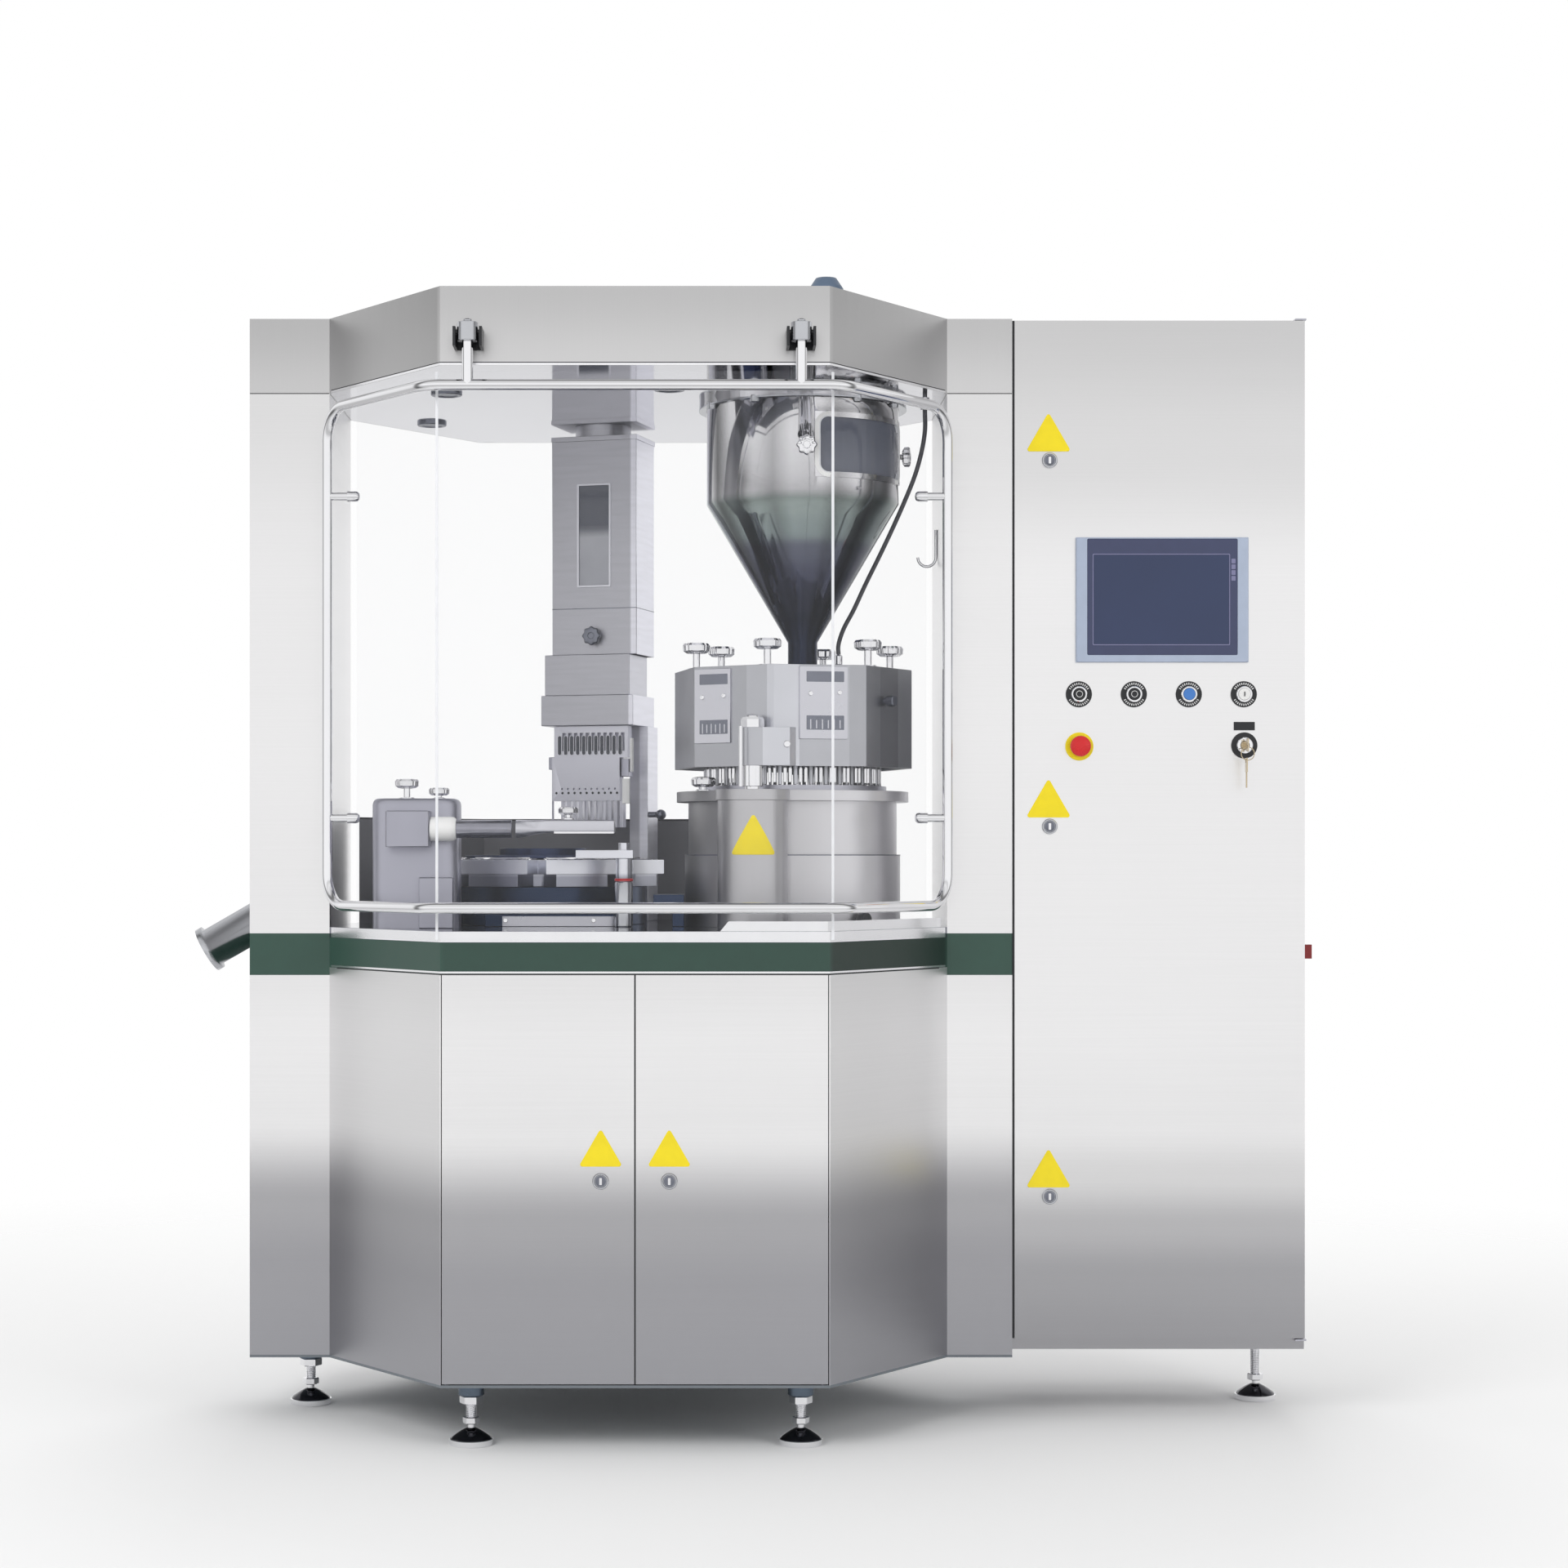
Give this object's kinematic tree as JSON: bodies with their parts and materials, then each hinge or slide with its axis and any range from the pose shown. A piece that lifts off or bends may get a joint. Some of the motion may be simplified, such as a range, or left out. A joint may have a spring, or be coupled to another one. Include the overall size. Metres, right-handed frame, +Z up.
{
  "type": "capsule filling machine",
  "caption": "Octagonal glazed capsule filling machine on a stainless cabinet base, with a turret, powder hopper, dosing station and a tall control cabinet on its right.",
  "frame": {"origin": "on the floor under the middle of the whole machine's box", "axes": "+X to the machine's right seen from its front, +Y from the front guard to the back, +Z up"},
  "size_m": [2.2024, 1.0466, 2.214],
  "materials": {
    "panel_steel": "satin",
    "frame_paint": "satin",
    "green_paint": "satin",
    "polished_steel": "polished",
    "machined_steel": "satin",
    "clear_sheet": "clear",
    "clear_glass": "clear",
    "black_rubber": "matt",
    "black_plastic": "satin",
    "white_plastic": "gloss",
    "blue_plastic": "gloss",
    "yellow_plastic": "gloss",
    "red_plastic": "gloss",
    "device_plastic": "satin",
    "panel_grey": "satin",
    "black_steel": "satin",
    "cast_paint": "painted",
    "motor_paint": "painted",
    "aluminium": "brushed",
    "cable_jacket": "satin"
  },
  "bodies": {
    "frame": {"base_frame": "frame_paint", "deck_plate": "polished_steel", "fixed_panels": "panel_steel", "green_band": "green_paint", "side_pillars": "panel_steel", "header_panels": "panel_steel", "ceiling_plate": "polished_steel", "rear_guard": "clear_sheet", "cabinet_shell": "panel_steel", "electrical_plate": "device_plastic", "hinge_pins": "machined_steel", "guard_brackets": "black_steel", "foot_pads": "black_rubber", "foot_studs": "machined_steel", "outlet_chute": "polished_steel", "main_motor": "motor_paint", "gearbox": "cast_paint", "drive_belt": "black_rubber", "index_boxes": "cast_paint", "turret_base": "machined_steel", "turret_cover": "machined_steel", "magazine": "aluminium", "feeder_blocks": "aluminium", "ejection_station": "machined_steel", "dosing_pot": "machined_steel", "hopper": "polished_steel", "sight_glasses": "clear_glass", "stirrer_drive": "motor_paint", "sensor_cable": "cable_jacket", "inner_fittings": "machined_steel"},
    "guard": {"guard_window": "clear_sheet", "guard_tubes": "polished_steel"},
    "left_door": {"left_door": "panel_steel"},
    "right_door": {"right_door": "panel_steel"},
    "left_door_lock": {"left_door_lock": "polished_steel"},
    "right_door_lock": {"right_door_lock": "polished_steel"},
    "cabinet_door": {"cabinet_door": "panel_steel", "touch_panel": "panel_grey", "control_bodies": "black_plastic", "stop_plate": "yellow_plastic"},
    "cabinet_lock_upper": {"cabinet_lock_upper": "polished_steel"},
    "cabinet_lock_middle": {"cabinet_lock_middle": "polished_steel"},
    "cabinet_lock_lower": {"cabinet_lock_lower": "polished_steel"},
    "push_button_1": {"push_button_1": "black_plastic"},
    "push_button_2": {"push_button_2": "black_plastic"},
    "push_button_3": {"push_button_3": "blue_plastic"},
    "push_button_4": {"push_button_4": "white_plastic"},
    "emergency_stop": {"emergency_stop": "red_plastic"},
    "switch_key": {"switch_key": "machined_steel"},
    "isolator_handle": {"isolator_handle": "red_plastic"},
    "turret_disc": {"turret_disc": "machined_steel"},
    "dosing_disc": {"dosing_disc": "machined_steel"},
    "cam_shaft": {"cam_shaft": "machined_steel"},
    "input_pulley": {"input_pulley": "machined_steel"},
    "motor_pulley": {"motor_pulley": "machined_steel"},
    "tamping_head": {"tamping_head": "machined_steel", "head_knobs": "machined_steel", "guide_pillars": "polished_steel"},
    "feeder_comb": {"feeder_comb": "machined_steel"},
    "stirrer": {"stirrer": "polished_steel"}
  },
  "joints": [
    {"name": "guard_lift", "type": "hinge", "parent": "frame", "child": "guard", "pos_m": [-0.24, -0.505, 2.02], "axis": [-1, 0, 0], "range_deg": [0, 80]},
    {"name": "left_door_swing", "type": "hinge", "parent": "frame", "child": "left_door", "pos_m": [-0.581, -0.454, 0.496], "axis": [0, 0, -1], "range_deg": [0, 110]},
    {"name": "right_door_swing", "type": "hinge", "parent": "frame", "child": "right_door", "pos_m": [0.101, -0.454, 0.496], "axis": [0, 0, 1], "range_deg": [0, 110]},
    {"name": "left_lock_turn", "type": "hinge", "parent": "left_door", "child": "left_door_lock", "pos_m": [-0.302, -0.46, 0.494], "axis": [0, -1, 0], "range_deg": [0, 90]},
    {"name": "right_lock_turn", "type": "hinge", "parent": "right_door", "child": "right_door_lock", "pos_m": [-0.178, -0.46, 0.494], "axis": [0, 1, 0], "range_deg": [0, 90]},
    {"name": "cabinet_door_swing", "type": "hinge", "parent": "frame", "child": "cabinet_door", "pos_m": [1.029, -0.136, 1.122], "axis": [0, 0, 1], "range_deg": [0, 120]},
    {"name": "cabinet_lock_upper_turn", "type": "hinge", "parent": "cabinet_door", "child": "cabinet_lock_upper", "pos_m": [0.548, -0.144, 1.839], "axis": [0, 1, 0], "range_deg": [0, 90]},
    {"name": "cabinet_lock_middle_turn", "type": "hinge", "parent": "cabinet_door", "child": "cabinet_lock_middle", "pos_m": [0.548, -0.144, 1.13782], "axis": [0, 1, 0], "range_deg": [0, 90]},
    {"name": "cabinet_lock_lower_turn", "type": "hinge", "parent": "cabinet_door", "child": "cabinet_lock_lower", "pos_m": [0.548, -0.144, 0.429], "axis": [0, 1, 0], "range_deg": [0, 90]},
    {"name": "push_button_1_press", "type": "slide", "parent": "cabinet_door", "child": "push_button_1", "axis": [0, 1, 0], "range_m": [0, 0.004], "stiffness_N_per_m": 500, "springref_m": -0.002},
    {"name": "push_button_2_press", "type": "slide", "parent": "cabinet_door", "child": "push_button_2", "axis": [0, 1, 0], "range_m": [0, 0.004], "stiffness_N_per_m": 500, "springref_m": -0.002},
    {"name": "push_button_3_press", "type": "slide", "parent": "cabinet_door", "child": "push_button_3", "axis": [0, 1, 0], "range_m": [0, 0.004], "stiffness_N_per_m": 500, "springref_m": -0.002},
    {"name": "push_button_4_press", "type": "slide", "parent": "cabinet_door", "child": "push_button_4", "axis": [0, 1, 0], "range_m": [0, 0.004], "stiffness_N_per_m": 500, "springref_m": -0.002},
    {"name": "emergency_stop_press", "type": "slide", "parent": "cabinet_door", "child": "emergency_stop", "axis": [0, 1, 0], "range_m": [0, 0.005]},
    {"name": "key_turn", "type": "hinge", "parent": "cabinet_door", "child": "switch_key", "pos_m": [0.9209, -0.144, 1.293], "axis": [0, 1, 0], "range_deg": [0, 60]},
    {"name": "isolator_turn", "type": "hinge", "parent": "frame", "child": "isolator_handle", "pos_m": [1.04, 0.07, 0.891], "axis": [1, 0, 0], "range_deg": [0, 90]},
    {"name": "turret_spin", "type": "hinge", "parent": "frame", "child": "turret_disc", "pos_m": [-0.437, 0.14, 1.045], "axis": [0, 0, 1], "continuous": true},
    {"name": "dosing_disc_spin", "type": "hinge", "parent": "frame", "child": "dosing_disc", "pos_m": [0.06, -0.01, 1.211], "axis": [0, 0, 1], "continuous": true},
    {"name": "cam_shaft_spin", "type": "hinge", "parent": "frame", "child": "cam_shaft", "pos_m": [-0.24, 0.14, 0.64], "axis": [1, 0, 0], "continuous": true},
    {"name": "input_pulley_spin", "type": "hinge", "parent": "frame", "child": "input_pulley", "pos_m": [0.165, -0.01, 0.54], "axis": [0, 1, 0], "continuous": true},
    {"name": "motor_pulley_spin", "type": "hinge", "parent": "frame", "child": "motor_pulley", "pos_m": [-0.06, -0.01, 0.222], "axis": [0, 1, 0], "continuous": true},
    {"name": "tamping_stroke", "type": "slide", "parent": "frame", "child": "tamping_head", "axis": [0, 0, 1], "range_m": [-0.004, 0.02]},
    {"name": "feeder_stroke", "type": "slide", "parent": "frame", "child": "feeder_comb", "axis": [0, 0, 1], "range_m": [-0.02, 0]},
    {"name": "stirrer_spin", "type": "hinge", "parent": "frame", "child": "stirrer", "pos_m": [0.08, -0.01, 1.7], "axis": [0, 0, 1], "continuous": true}
  ],
  "couplings": [
    {"joint": "dosing_disc_spin", "follows": "turret_spin", "ratio": -1.3333},
    {"joint": "cam_shaft_spin", "follows": "turret_spin", "ratio": 8},
    {"joint": "motor_pulley_spin", "follows": "input_pulley_spin", "ratio": 2.5}
  ]
}
